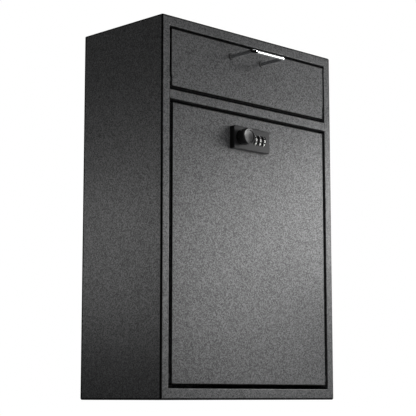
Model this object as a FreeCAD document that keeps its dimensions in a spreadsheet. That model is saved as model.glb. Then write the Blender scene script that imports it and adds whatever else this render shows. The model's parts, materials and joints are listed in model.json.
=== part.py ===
"""Wall deposit box: a folded steel cabinet with a tilting hopper above a combination-locked door.

Millimetres, +Z up. The front faces -Y and the origin is the centre of the cabinet's base.
"""
import FreeCAD
import Part
import Sketcher
import math
import os
from types import SimpleNamespace

# Driving dimensions, in millimetres and degrees, grouped by the piece that they shape
DIMENSIONS = {
    "cabinet": {
        "width": 275.0,
        "depth": 130.0,
        "height": 410.0,
        "gauge": 1.2,
        "bend_radius": 2.2,
        "edge_radius": 0.9,
        "stile": 11.0,
        "top_rail": 11.5,
        "bottom_rail": 12.0,
        "mid_rail_height": 10.6,
        "lip_depth": 12.0,
        "rear_flange": 14.0,
        "weld_gap": 0.2,
        "wall_hole_span_across": 200.0,
        "wall_hole_span_up": 300.0,
        "wall_hole_diameter": 8.0,
    },
    "baffle": {
        "baffle_drop": 46.0,
        "baffle_flange": 16.0,
        "baffle_kick": 12.0,
    },
    "stops": {
        "stop_width": 20.0,
        "stop_reach": 9.0,
        "door_stop_drop": 30.0,
        "hopper_stop_spacing": 180.0,
    },
    "pivots": {
        "side_gap": 3.7,
        "pivot_inset": 6.0,
        "pivot_rise": 8.0,
        "journal_diameter": 5.0,
        "journal_clearance": 0.05,
        "journal_overhang": 1.5,
        "collar_across_flats": 8.0,
        "axial_play": 0.3,
        "stud_diameter": 4.0,
        "thread_clearance": 0.03,
        "stud_overhang": 1.0,
        "nut_across_flats": 7.0,
        "nut_thickness": 3.2,
    },
    "door": {
        "door_top_gap": 3.0,
        "door_bottom_gap": 4.0,
        "flange_depth": 11.5,
        "panel_corner_radius": 1.6,
    },
    "hopper": {
        "hopper_height": 64.2,
        "hopper_top_gap": 2.4,
        "hopper_bottom_gap": 2.9,
        "hopper_wide_gap": 1.7,
        "relief_rise": 22.5,
        "relief_taper": 12.0,
        "hopper_swing": 50.0,
        "cheek_flange": 10.0,
        "ear_overlap": 3.4,
        "ear_root": 8.0,
        "ear_length": 8.0,
        "tray_slope": 18.0,
        "tray_length": 44.0,
        "tray_hem": 6.0,
    },
    "handle": {
        "rod_diameter": 4.6,
        "handle_span": 49.3,
        "handle_offset": -8.0,
        "handle_drop": 15.1,
        "handle_reach": 36.0,
        "handle_bend": 5.5,
    },
    "lock": {
        "plate_width": 57.6,
        "plate_height": 25.7,
        "plate_thickness": 6.5,
        "plate_corner_radius": 1.5,
        "plate_bevel": 0.6,
        "lock_offset": -6.3,
        "lock_drop": 26.4,
        "barrel_wall": 3.0,
        "end_wall": 0.4,
        "bay_wall": 2.2,
        "cover_thickness": 1.5,
        "case_fit": 0.15,
        "clamp_border": 5.0,
        "clamp_thickness": 1.5,
    },
    "dials": {
        "dial_offset": 11.8,
        "dial_pitch": 6.8,
        "dial_width": 5.0,
        "dial_radius": 7.5,
        "dial_depth": 5.2,
        "dial_clearance": 0.3,
        "notch_width": 1.1,
        "notch_depth": 0.6,
        "axle_diameter": 3.0,
        "axle_bite": 2.0,
        "spring_room": 2.5,
        "spring_bay": 1.5,
        "spring_gauge": 0.4,
        "spring_foot": 1.6,
        "spring_half_span": 6.4,
        "spring_width": 3.6,
    },
    "knob": {
        "knob_offset": -17.2,
        "knob_diameter": 18.6,
        "knob_reach": 12.8,
        "knob_collar_diameter": 17.0,
        "knob_collar_length": 3.6,
        "knob_groove_diameter": 15.4,
        "knob_groove_length": 1.4,
        "knob_dish_radius": 7.2,
        "knob_dish_depth": 0.7,
        "knob_edge": 1.0,
        "spindle_diameter": 8.0,
        "thrust_diameter": 11.0,
        "thrust_length": 1.5,
        "cam_square": 6.0,
        "cam_thickness": 2.5,
        "cam_width": 15.0,
        "cam_corner_radius": 5.25,
        "cam_overlap": 6.6,
        "cam_gap": 0.5,
    },
}
DIAL_NAMES = ("dial_wheel_1", "dial_wheel_2", "dial_wheel_3")
DIGITS_PER_DIAL = 10
NUT_CORNERS = 6
# A cut is made this many times as deep as the wall, so that it passes clean through
THROUGH = 2
# Two levels this near to each other count as one
NEAR = 1e-6

doc = FreeCAD.newDocument("deposit_box")
nodes = {}


class Size:
    """A number that carries the sheet expression which gives it."""

    def __init__(self, value, text):
        self.value = value
        self.text = text

    def __add__(self, other):
        other = as_size(other)
        return Size(self.value + other.value, f"({self.text} + {other.text})")

    def __sub__(self, other):
        other = as_size(other)
        return Size(self.value - other.value, f"({self.text} - {other.text})")

    def __mul__(self, other):
        other = as_size(other)
        return Size(self.value * other.value, f"({self.text} * {other.text})")

    def __truediv__(self, other):
        other = as_size(other)
        return Size(self.value / other.value, f"({self.text} / {other.text})")

    def __neg__(self):
        return Size(-self.value, f"(0 - {self.text})")


def as_size(item):
    return item if isinstance(item, Size) else Size(float(item), repr(float(item)))


def cosine(angle):
    return Size(math.cos(math.radians(angle.value)), f"cos({angle.text})")


def sine(angle):
    return Size(math.sin(math.radians(angle.value)), f"sin({angle.text})")


def tangent_of_half(angle):
    return Size(math.tan(math.radians(angle.value / 2)), f"tan({angle.text} / 2)")


def larger(first, second):
    return Size(max(first.value, second.value), f"max({first.text}; {second.text})")


def root(item):
    return Size(math.sqrt(item.value), f"sqrt({item.text})")


def make_sheet():
    """Write every driving dimension to the sheet and return them by name."""
    sheet = doc.addObject("Spreadsheet::Sheet", "dims")
    sizes = {}
    row = 1
    for group, entries in DIMENSIONS.items():
        sheet.set(f"A{row}", group)
        for alias, number in entries.items():
            row += 1
            sheet.set(f"A{row}", alias)
            sheet.set(f"B{row}", str(number))
            sheet.setAlias(f"B{row}", alias)
            sizes[alias] = Size(number, f"dims.{alias}")
        row += 1
    doc.recompute()
    return SimpleNamespace(**sizes)


d = make_sheet()


# Drawing and feature helpers

def bind(item, path, size):
    item.setExpression(path, as_size(size).text)


def new_body(label):
    body = doc.addObject("PartDesign::Body", label)
    body.Label = label
    nodes[label] = body
    return body


def sketch_on(body, role, offsets):
    """Sketch on one of the body's own planes, moved by three sizes along that plane's axes."""
    plane = next(item for item in body.Origin.OriginFeatures if item.Role == role)
    sketch = body.newObject("Sketcher::SketchObject", f"{body.Name}_sketch")
    sketch.AttachmentSupport = [(plane, "")]
    sketch.MapMode = "FlatFace"
    for axis, offset in zip("xyz", offsets):
        bind(sketch, f"AttachmentOffset.Base.{axis}", offset)
    return sketch


def front_sketch(body, y):
    """Drawn in X and Z, at depth y; its features grow towards -Y."""
    return sketch_on(body, "XZ_Plane", (0, 0, -as_size(y)))


def side_sketch(body, x):
    """Drawn in Y and Z, at x; its features grow towards +X."""
    return sketch_on(body, "YZ_Plane", (0, 0, x))


def plan_sketch(body, z):
    """Drawn in X and Y, at height z; its features grow towards +Z."""
    return sketch_on(body, "XY_Plane", (0, 0, z))


def pin_point(sketch, curve, end, u, v):
    """Hold one end (1 start, 2 end, 3 centre) of a curve at a pair of sizes."""
    for kind, axis, size in (("DistanceX", -2, as_size(u)), ("DistanceY", -1, as_size(v))):
        if size.text == repr(0.0):
            sketch.addConstraint(Sketcher.Constraint("PointOnObject", curve, end, axis))
            continue
        index = sketch.addConstraint(Sketcher.Constraint(kind, -1, 1, curve, end, size.value))
        bind(sketch, f"Constraints[{index}]", size)


def flat(u, v):
    return FreeCAD.Vector(as_size(u).value, as_size(v).value, 0)


def outline(sketch, corners):
    """Closed straight-sided outline through pairs of sizes."""
    first = sketch.GeometryCount
    count = len(corners)
    for index in range(count):
        start, end = corners[index], corners[(index + 1) % count]
        sketch.addGeometry(Part.LineSegment(flat(*start), flat(*end)), False)
    for index in range(count):
        sketch.addConstraint(
            Sketcher.Constraint("Coincident", first + index, 2, first + (index + 1) % count, 1))
        pin_point(sketch, first + index, 1, *corners[index])


def rectangle(sketch, left, right, low, high):
    outline(sketch, [(left, low), (right, low), (right, high), (left, high)])


def set_radius(sketch, curve, radius):
    index = sketch.addConstraint(Sketcher.Constraint("Radius", curve, radius.value))
    bind(sketch, f"Constraints[{index}]", radius)


def circle(sketch, u, v, radius):
    curve = sketch.addGeometry(Part.Circle(flat(u, v), FreeCAD.Vector(0, 0, 1), radius.value), False)
    pin_point(sketch, curve, 3, u, v)
    set_radius(sketch, curve, radius)


def hexagon(sketch, across_flats):
    reach = across_flats / math.sqrt(3)
    turns = [2 * math.pi * index / NUT_CORNERS for index in range(NUT_CORNERS)]
    outline(sketch, [(reach * math.cos(turn), reach * math.sin(turn)) for turn in turns])


def pad(body, sketch, length, backward=False):
    feature = body.newObject("PartDesign::Pad", f"{body.Name}_pad")
    feature.Profile = sketch
    feature.Reversed = backward
    bind(feature, "Length", length)
    doc.recompute()
    return feature


def pocket(body, sketch, length, forward=False):
    """Cut against the sketch's growing direction, or along it when forward."""
    before = body.Shape.Volume
    feature = body.newObject("PartDesign::Pocket", f"{body.Name}_pocket")
    feature.Profile = sketch
    feature.Reversed = forward
    bind(feature, "Length", length)
    doc.recompute()
    if body.Shape.Volume >= before:
        raise RuntimeError(f"{feature.Name} cuts nothing")
    return feature


def turned(body, profile, axis):
    """Solid of revolution; the profile is drawn in X and Y about the body's own X or Y axis."""
    sketch = plan_sketch(body, 0)
    outline(sketch, profile)
    feature = body.newObject("PartDesign::Revolution", f"{body.Name}_turned")
    feature.Profile = sketch
    feature.ReferenceAxis = (sketch, [axis])
    feature.Angle = 360
    doc.recompute()
    return feature


def dress_edges(body, kind, measure, size, wanted):
    """Fillet or chamfer the edges of the body so far for which wanted(edge) is true."""
    base = body.Tip
    names = [f"Edge{index + 1}" for index, edge in enumerate(base.Shape.Edges) if wanted(edge)]
    feature = body.newObject(kind, f"{body.Name}_edges")
    feature.Base = (base, names)
    bind(feature, measure, size)
    doc.recompute()


def round_edges(body, radius, wanted):
    dress_edges(body, "PartDesign::Fillet", "Radius", radius, wanted)


def bevel_edges(body, width, wanted):
    dress_edges(body, "PartDesign::Chamfer", "Size", width, wanted)


def runs_along(edge, axis):
    first, last = (vertex.Point for vertex in (edge.Vertexes[0], edge.Vertexes[-1]))
    span = last - first
    return span.Length > 0 and abs(abs(span.dot(axis)) - span.Length) < NEAR


def stays_at(edge, axis, level):
    return all(abs(vertex.Point.dot(axis) - level.value) < NEAR for vertex in edge.Vertexes)


def place(body, x, y, z):
    for axis, size in zip("xyz", (x, y, z)):
        bind(body, f"Placement.Base.{axis}", size)


def group(label, members):
    """One node that holds several like pieces."""
    compound = doc.addObject("Part::Compound", label)
    compound.Label = label
    for member in members:
        nodes.pop(member.Label)
    compound.Links = members
    nodes[label] = compound


X_AXIS = FreeCAD.Vector(1, 0, 0)
Y_AXIS = FreeCAD.Vector(0, 1, 0)

# Planes and levels that the pieces share

half_width = d.width / 2
front = -(d.depth / 2)
back = d.depth / 2
panel_back = front + d.gauge
lip_back = front + d.lip_depth
flange_back = front + d.flange_depth
opening_half = half_width - d.stile
opening_top = d.height - d.top_rail
inner_half = half_width - d.gauge
hopper_top = opening_top - d.hopper_top_gap
hopper_bottom = hopper_top - d.hopper_height
mid_top = hopper_bottom - d.hopper_bottom_gap
mid_bottom = mid_top - d.mid_rail_height

panel_half = opening_half - d.side_gap
door_bottom = d.bottom_rail + d.door_bottom_gap
door_top = mid_bottom - d.door_top_gap

pivot_y = front + d.pivot_inset
door_pivot_z = door_bottom + d.pivot_rise
hopper_pivot_z = hopper_bottom + d.pivot_rise
cheek_radius = d.hopper_height - d.pivot_rise - d.gauge - d.weld_gap
ear_reach = opening_top - hopper_pivot_z + d.ear_overlap
journal_bore = d.journal_diameter / 2 + d.journal_clearance
stud_bore = d.stud_diameter / 2 + d.thread_clearance

lock_x = d.lock_offset
lock_z = door_top - d.lock_drop
plate_face = front - d.plate_thickness
knob_x = lock_x + d.knob_offset
dials_x = lock_x + d.dial_offset
dial_y = plate_face + d.dial_depth
bay_half = d.dial_width / 2 + d.dial_clearance
bay_radius = d.dial_radius + d.dial_clearance
axle_half = d.dial_pitch + bay_half + d.axle_bite
case_back = dial_y + bay_radius + d.spring_room
cover_back = case_back + d.cover_thickness
cam_front = larger(lip_back, cover_back + d.thrust_length) + d.cam_gap
cam_back = cam_front + d.cam_thickness


# Cabinet

def make_cabinet_shell():
    """Folded body: four walls, front frame with returned lips, and rear flanges."""
    body = new_body("cabinet_shell")
    sketch = front_sketch(body, back)
    rectangle(sketch, -half_width, half_width, 0, d.height)
    pad(body, sketch, d.depth)
    round_edges(body, d.bend_radius, lambda edge: runs_along(edge, Y_AXIS) or stays_at(edge, Y_AXIS, front))

    sketch = front_sketch(body, panel_back)
    rectangle(sketch, -inner_half, inner_half, d.gauge, d.height - d.gauge)
    pocket(body, sketch, d.depth - d.gauge * 2)

    sketch = front_sketch(body, back)
    flange_half = inner_half - d.rear_flange
    rectangle(sketch, -flange_half, flange_half, d.gauge + d.rear_flange,
              d.height - d.gauge - d.rear_flange)
    pocket(body, sketch, d.gauge * THROUGH, forward=True)

    lip_half = opening_half + d.gauge
    sketch = front_sketch(body, lip_back)
    rectangle(sketch, -lip_half, lip_half, d.bottom_rail - d.gauge, opening_top + d.gauge)
    pad(body, sketch, d.lip_depth - d.gauge)
    sketch = front_sketch(body, lip_back)
    rectangle(sketch, -opening_half, opening_half, d.bottom_rail, opening_top)
    pocket(body, sketch, d.lip_depth, forward=True)

    def on_opening(edge):
        point = edge.CenterOfMass
        inside = abs(point.x) < opening_half.value + NEAR and (
            d.bottom_rail.value - NEAR < point.z < opening_top.value + NEAR)
        return inside and stays_at(edge, Y_AXIS, front)
    round_edges(body, d.edge_radius, on_opening)

    sketch = side_sketch(body, -(lip_half + d.axial_play))
    for level in (door_pivot_z, hopper_pivot_z):
        circle(sketch, pivot_y, level, stud_bore)
    pocket(body, sketch, (lip_half + d.axial_play) * 2, forward=True)


def make_mid_rail():
    """Channel welded across the frame between the hopper and the door."""
    body = new_body("mid_rail")
    low, high = mid_bottom, mid_top
    sketch = side_sketch(body, -opening_half)
    outline(sketch, [
        (front, low), (lip_back, low), (lip_back, low + d.gauge), (panel_back, low + d.gauge),
        (panel_back, high - d.gauge), (lip_back, high - d.gauge), (lip_back, high), (front, high)])
    pad(body, sketch, opening_half * 2)
    round_edges(body, d.edge_radius,
                lambda edge: runs_along(edge, X_AXIS) and stays_at(edge, Y_AXIS, front))


def make_back_panel():
    """Plate welded against the rear flanges, with four wall-bolt holes."""
    body = new_body("back_panel")
    plate_half = inner_half - d.weld_gap
    sketch = front_sketch(body, back - d.gauge)
    rectangle(sketch, -plate_half, plate_half, d.gauge + d.weld_gap, d.height - d.gauge - d.weld_gap)
    pad(body, sketch, d.gauge)
    sketch = front_sketch(body, back)
    middle = d.height / 2
    for across in (d.wall_hole_span_across / 2, -(d.wall_hole_span_across / 2)):
        for up in (d.wall_hole_span_up / 2, -(d.wall_hole_span_up / 2)):
            circle(sketch, across, middle + up, d.wall_hole_diameter / 2)
    pocket(body, sketch, d.gauge * (THROUGH + 1), forward=True)


def make_anti_fish_baffle():
    """Folded plate that hangs from the roof behind the hopper and stops a hand or a hook."""
    body = new_body("anti_fish_baffle")
    roof = d.height - d.gauge
    face = pivot_y + ear_reach
    foot = roof - d.baffle_drop
    sketch = side_sketch(body, -(inner_half - d.weld_gap))
    outline(sketch, [
        (face, roof), (face, foot), (face + d.baffle_kick, foot - d.baffle_kick),
        (face + d.baffle_kick + d.gauge, foot - d.baffle_kick + d.gauge / 2),
        (face + d.gauge, foot + d.gauge / 2), (face + d.gauge, roof - d.gauge),
        (face + d.baffle_flange, roof - d.gauge), (face + d.baffle_flange, roof)])
    pad(body, sketch, (inner_half - d.weld_gap) * 2)


def make_door_stop(label, side):
    """Angle welded to the stile's lip; the closed door's flange rests against it."""
    body = new_body(label)
    outer = (opening_half + d.gauge) * side
    leg = (opening_half + d.gauge * 2) * side
    inner = (opening_half - d.stop_reach) * side
    top = door_top - d.door_stop_drop
    sketch = plan_sketch(body, top - d.stop_width)
    outline(sketch, [
        (outer, panel_back), (leg, panel_back), (leg, lip_back + d.gauge), (inner, lip_back + d.gauge),
        (inner, lip_back), (outer, lip_back)])
    pad(body, sketch, d.stop_width)


def make_hopper_stop(label, side):
    """Angle welded on the top lip; the closed hopper's top flange rests against it."""
    body = new_body(label)
    low = opening_top - d.stop_reach
    seat = opening_top + d.gauge
    sketch = side_sketch(body, d.hopper_stop_spacing / 2 * side - d.stop_width / 2)
    outline(sketch, [
        (panel_back, seat), (lip_back, seat), (lip_back, low), (lip_back + d.gauge, low),
        (lip_back + d.gauge, seat + d.gauge), (panel_back, seat + d.gauge)])
    pad(body, sketch, d.stop_width)


def make_pivot(label, side, level):
    """Hex-shoulder stud in the frame's lip: its journal carries the door's or the hopper's side."""
    body = new_body(label)
    shoulder = d.side_gap - d.axial_play
    sketch = plan_sketch(body, 0)
    hexagon(sketch, d.collar_across_flats)
    pad(body, sketch, shoulder)
    sketch = plan_sketch(body, shoulder)
    circle(sketch, 0, 0, d.journal_diameter / 2)
    pad(body, sketch, d.axial_play + d.gauge + d.journal_overhang)
    sketch = plan_sketch(body, 0)
    circle(sketch, 0, 0, d.stud_diameter / 2)
    pad(body, sketch, d.gauge + d.nut_thickness + d.stud_overhang, backward=True)
    body.Placement.Rotation = FreeCAD.Rotation(Y_AXIS, -90 * side)
    place(body, opening_half * side, pivot_y, level)


def make_nut(label):
    """Plain hexagon nut, drawn lying flat on its own +Z axis."""
    body = new_body(label)
    sketch = plan_sketch(body, 0)
    hexagon(sketch, d.nut_across_flats)
    circle(sketch, 0, 0, stud_bore)
    pad(body, sketch, d.nut_thickness)
    return body


def make_pivot_nuts():
    nuts = []
    for side in (-1, 1):
        for level in (door_pivot_z, hopper_pivot_z):
            nut = make_nut(f"pivot_nut_{len(nuts) + 1}")
            nut.Placement.Rotation = FreeCAD.Rotation(Y_AXIS, 90 * side)
            place(nut, (opening_half + d.gauge) * side, pivot_y, level)
            nuts.append(nut)
    group("pivot_nuts", nuts)


# Hopper

def make_hopper_panel():
    """Front of the hopper: relieved beside the pivots, with folded top and bottom flanges."""
    body = new_body("hopper_panel")
    wide = opening_half - d.hopper_wide_gap
    step = hopper_bottom + d.relief_rise
    waist = step - d.relief_taper
    sketch = front_sketch(body, panel_back)
    outline(sketch, [
        (-panel_half, hopper_bottom), (panel_half, hopper_bottom), (panel_half, waist), (wide, step),
        (wide, hopper_top), (-wide, hopper_top), (-wide, step), (-panel_half, waist)])
    pad(body, sketch, d.gauge)
    for low in (hopper_bottom, hopper_top - d.gauge):
        sketch = front_sketch(body, flange_back)
        rectangle(sketch, -panel_half, panel_half, low, low + d.gauge)
        pad(body, sketch, d.flange_depth - d.gauge)
    round_edges(body, d.edge_radius, lambda edge: stays_at(edge, Y_AXIS, front))

    sketch = front_sketch(body, front)
    for foot in handle_feet():
        circle(sketch, foot, handle_z(), stud_bore)
    pocket(body, sketch, d.gauge * THROUGH)


def make_hopper_cheek(label, side):
    """Quadrant side of the hopper: pivot hole, folded front flange and a stop ear at the rear."""
    body = new_body(label)
    outer = panel_half * side
    inner = (panel_half - d.gauge) * side
    left = inner if side > 0 else outer
    rear_y = pivot_y + cheek_radius
    bend_y, floor_z, end_y, end_z = tray_line()
    rise = root(cheek_radius * cheek_radius - (d.pivot_inset - d.gauge) * (d.pivot_inset - d.gauge))
    top_z = hopper_pivot_z + rise

    sketch = side_sketch(body, left)
    corners = [(rear_y, hopper_pivot_z), (end_y, end_z), (bend_y, floor_z), (panel_back, floor_z),
               (panel_back, top_z)]
    for start, end in zip(corners, corners[1:]):
        sketch.addGeometry(Part.LineSegment(flat(*start), flat(*end)), False)
    arc_start = Part.Circle(flat(pivot_y, hopper_pivot_z), FreeCAD.Vector(0, 0, 1), cheek_radius.value)
    open_angle = math.acos((panel_back.value - pivot_y.value) / cheek_radius.value)
    sketch.addGeometry(Part.ArcOfCircle(arc_start, 0, open_angle), False)
    arc = len(corners) - 1
    for index in range(arc):
        pin_point(sketch, index, 1, *corners[index])
        following = (index + 1, 1) if index + 1 < arc else (arc, 2)
        sketch.addConstraint(Sketcher.Constraint("Coincident", index, 2, *following))
    sketch.addConstraint(Sketcher.Constraint("Coincident", arc, 1, 0, 1))
    pin_point(sketch, arc, 3, pivot_y, hopper_pivot_z)
    index = sketch.addConstraint(Sketcher.Constraint("DistanceX", -1, 1, arc, 2, panel_back.value))
    bind(sketch, f"Constraints[{index}]", panel_back)
    pad(body, sketch, d.gauge)

    sketch = side_sketch(body, left)
    outline(sketch, stop_ear())
    pad(body, sketch, d.gauge)

    sketch = front_sketch(body, panel_back + d.gauge)
    edge = (panel_half - d.cheek_flange) * side
    rectangle(sketch, edge, outer, floor_z, hopper_pivot_z + cheek_radius - d.ear_root)
    pad(body, sketch, d.gauge)

    sketch = side_sketch(body, left - d.gauge)
    circle(sketch, pivot_y, hopper_pivot_z, journal_bore)
    pocket(body, sketch, d.gauge * (THROUGH + 1), forward=True)


def tray_line():
    """Underside of the tray: where it bends down from the flange, and where it ends."""
    floor_z = hopper_bottom + d.gauge
    end_y = flange_back + d.tray_length * cosine(d.tray_slope)
    end_z = floor_z - d.tray_length * sine(d.tray_slope)
    return flange_back, floor_z, end_y, end_z


def stop_ear():
    """Ear that meets the rear edge of the top lip when the hopper is fully open, drawn closed."""
    near = lip_back - pivot_y + d.axial_play
    far = near + d.ear_length
    low = cheek_radius - d.ear_root
    turn_cos, turn_sin = cosine(d.hopper_swing), sine(d.hopper_swing)

    def closed(y, z):
        return (pivot_y + y * turn_cos + z * turn_sin, hopper_pivot_z + z * turn_cos - y * turn_sin)
    return [closed(near, low), closed(far, low), closed(far, ear_reach), closed(near, ear_reach)]


def make_hopper_tray():
    """Floor of the hopper: lies on the bottom flange, slopes down to the rear and ends in a hem."""
    body = new_body("hopper_tray")
    bend_y, floor_z, end_y, end_z = tray_line()
    along_y, along_z = cosine(d.tray_slope), -sine(d.tray_slope)
    up_y, up_z = sine(d.tray_slope), cosine(d.tray_slope)
    start_y = panel_back + d.gauge + d.weld_gap
    hem_y, hem_z = end_y - d.gauge * along_y, end_z - d.gauge * along_z
    tray_half = panel_half - d.gauge
    sketch = side_sketch(body, -tray_half)
    outline(sketch, [
        (start_y, floor_z), (bend_y, floor_z), (hem_y, hem_z),
        (hem_y - d.tray_hem * up_y, hem_z - d.tray_hem * up_z),
        (end_y - d.tray_hem * up_y, end_z - d.tray_hem * up_z),
        (end_y + d.gauge * up_y, end_z + d.gauge * up_z),
        (bend_y + d.gauge * tangent_of_half(d.tray_slope), floor_z + d.gauge),
        (start_y, floor_z + d.gauge)])
    pad(body, sketch, tray_half * 2)


def handle_feet():
    return d.handle_offset - d.handle_span / 2, d.handle_offset + d.handle_span / 2


def handle_z():
    return hopper_top - d.handle_drop


def make_pull_handle():
    """Bent round rod with a threaded stud at each foot."""
    body = new_body("pull_handle")
    left, right = handle_feet()
    bar = front - d.handle_reach
    bend = d.handle_bend
    radius = d.rod_diameter / 2

    path = plan_sketch(body, handle_z())
    legs = [((left, front), (left, bar + bend)), ((left + bend, bar), (right - bend, bar)),
            ((right, bar + bend), (right, front))]
    for start, end in legs:
        line = path.addGeometry(Part.LineSegment(flat(*start), flat(*end)), False)
        pin_point(path, line, 1, *start)
        pin_point(path, line, 2, *end)
    quarter = math.pi / 2
    for index, centre_x in enumerate((left + bend, right - bend)):
        round_end = Part.Circle(flat(centre_x, bar + bend), FreeCAD.Vector(0, 0, 1), bend.value)
        first = math.pi + index * quarter
        arc = path.addGeometry(Part.ArcOfCircle(round_end, first, first + quarter), False)
        path.addConstraint(Sketcher.Constraint("Coincident", arc, 1, index, 2))
        path.addConstraint(Sketcher.Constraint("Coincident", arc, 2, index + 1, 1))
        set_radius(path, arc, bend)

    section = front_sketch(body, front)
    circle(section, left, handle_z(), radius)
    pipe = body.newObject("PartDesign::AdditivePipe", "handle_rod")
    pipe.Profile = section
    pipe.Spine = path
    doc.recompute()

    stud = d.gauge + d.nut_thickness + d.stud_overhang
    sketch = front_sketch(body, front)
    for x in (left, right):
        circle(sketch, x, handle_z(), d.stud_diameter / 2)
    pad(body, sketch, stud, backward=True)


def make_handle_nuts():
    nuts = []
    for foot in handle_feet():
        nut = make_nut(f"handle_nut_{len(nuts) + 1}")
        nut.Placement.Rotation = FreeCAD.Rotation(X_AXIS, -90)
        place(nut, foot, panel_back, handle_z())
        nuts.append(nut)
    group("handle_nuts", nuts)


# Door and lock

def case_limits(grow):
    """Left, right, low and high sides of the lock's rear case, grown by a clearance."""
    half = bay_radius + d.bay_wall
    return (knob_x - d.spindle_diameter / 2 - d.barrel_wall - grow, dials_x + axle_half + d.end_wall + grow,
            lock_z - half - grow, lock_z + half + grow)


def make_door_panel():
    """Door pan with folded flanges on all four sides, the lock cut-out and the pivot holes."""
    body = new_body("door_panel")
    sketch = front_sketch(body, flange_back)
    rectangle(sketch, -panel_half, panel_half, door_bottom, door_top)
    pad(body, sketch, d.flange_depth)
    round_edges(body, d.panel_corner_radius, lambda edge: runs_along(edge, Y_AXIS))
    round_edges(body, d.edge_radius, lambda edge: stays_at(edge, Y_AXIS, front))
    inner = panel_half - d.gauge
    sketch = front_sketch(body, panel_back)
    rectangle(sketch, -inner, inner, door_bottom + d.gauge, door_top - d.gauge)
    pocket(body, sketch, d.flange_depth)

    sketch = front_sketch(body, front)
    rectangle(sketch, *case_limits(d.case_fit))
    pocket(body, sketch, d.gauge * THROUGH)

    sketch = side_sketch(body, -(panel_half + d.gauge))
    circle(sketch, pivot_y, door_pivot_z, journal_bore)
    pocket(body, sketch, (panel_half + d.gauge) * 2, forward=True)


def dial_places():
    middle = (len(DIAL_NAMES) - 1) / 2
    return [dials_x + d.dial_pitch * (index - middle) for index in range(len(DIAL_NAMES))]


def make_lock_case():
    """Moulded lock body: face plate, rear case, three dial bays and the bore for the spindle."""
    body = new_body("lock_case")
    half_w, half_h = d.plate_width / 2, d.plate_height / 2
    sketch = front_sketch(body, front)
    rectangle(sketch, lock_x - half_w, lock_x + half_w, lock_z - half_h, lock_z + half_h)
    pad(body, sketch, d.plate_thickness)
    round_edges(body, d.plate_corner_radius, lambda edge: runs_along(edge, Y_AXIS))
    bevel_edges(body, d.plate_bevel, lambda edge: stays_at(edge, Y_AXIS, plate_face))
    left, right, low, high = case_limits(0)
    sketch = front_sketch(body, case_back)
    rectangle(sketch, left, right, low, high)
    pad(body, sketch, case_back - front)

    for x in dial_places():
        sketch = side_sketch(body, x - bay_half)
        circle(sketch, dial_y, lock_z, bay_radius)
        pocket(body, sketch, bay_half * 2, forward=True)
        sketch = side_sketch(body, x - bay_half)
        rectangle(sketch, dial_y, case_back + d.gauge, lock_z - bay_radius, lock_z + bay_radius)
        pocket(body, sketch, bay_half * 2, forward=True)
    places = dial_places()
    sketch = front_sketch(body, case_back - d.spring_bay)
    rectangle(sketch, places[0] - bay_half, places[-1] + bay_half, lock_z - bay_radius, lock_z + bay_radius)
    pocket(body, sketch, d.spring_bay * THROUGH)

    sketch = side_sketch(body, dials_x - axle_half)
    circle(sketch, dial_y, lock_z, d.axle_diameter / 2 + d.thread_clearance)
    pocket(body, sketch, axle_half * 2, forward=True)

    sketch = front_sketch(body, plate_face)
    circle(sketch, knob_x, lock_z, d.spindle_diameter / 2 + d.journal_clearance)
    pocket(body, sketch, case_back - plate_face)


def make_lock_back_cover():
    body = new_body("lock_back_cover")
    sketch = front_sketch(body, cover_back)
    rectangle(sketch, *case_limits(0))
    pad(body, sketch, d.cover_thickness)
    sketch = front_sketch(body, case_back)
    circle(sketch, knob_x, lock_z, d.spindle_diameter / 2 + d.journal_clearance)
    pocket(body, sketch, d.cover_thickness * THROUGH)


def make_lock_clamp():
    """Frame behind the door sheet that the lock's case is drawn against."""
    body = new_body("lock_clamp")
    clamp_back = panel_back + d.clamp_thickness
    sketch = front_sketch(body, clamp_back)
    rectangle(sketch, *case_limits(d.clamp_border))
    rectangle(sketch, *case_limits(d.case_fit))
    pad(body, sketch, d.clamp_thickness)


def make_dial_axle():
    body = new_body("dial_axle")
    sketch = side_sketch(body, dials_x - axle_half)
    circle(sketch, dial_y, lock_z, d.axle_diameter / 2)
    pad(body, sketch, axle_half * 2)


def make_detent_springs():
    """One bowed leaf behind each dial; its crest stands just clear of the dial's rim."""
    crest = dial_y + d.dial_radius + d.dial_clearance
    span, foot, thick = d.spring_half_span, d.spring_foot, d.spring_gauge
    leaves = []
    for x in dial_places():
        leaf = new_body(f"detent_spring_{len(leaves) + 1}")
        sketch = side_sketch(leaf, x - d.spring_width / 2)
        outline(sketch, [
            (case_back, lock_z - span), (case_back, lock_z - span + foot),
            (crest + thick, lock_z - foot / 2), (crest + thick, lock_z + foot / 2),
            (case_back, lock_z + span - foot), (case_back, lock_z + span),
            (case_back - thick, lock_z + span), (case_back - thick, lock_z + span - foot - thick),
            (crest, lock_z + foot / 2), (crest, lock_z - foot / 2),
            (case_back - thick, lock_z - span + foot + thick), (case_back - thick, lock_z - span)])
        pad(leaf, sketch, d.spring_width)
        leaves.append(leaf)
    group("detent_springs", leaves)


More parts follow.
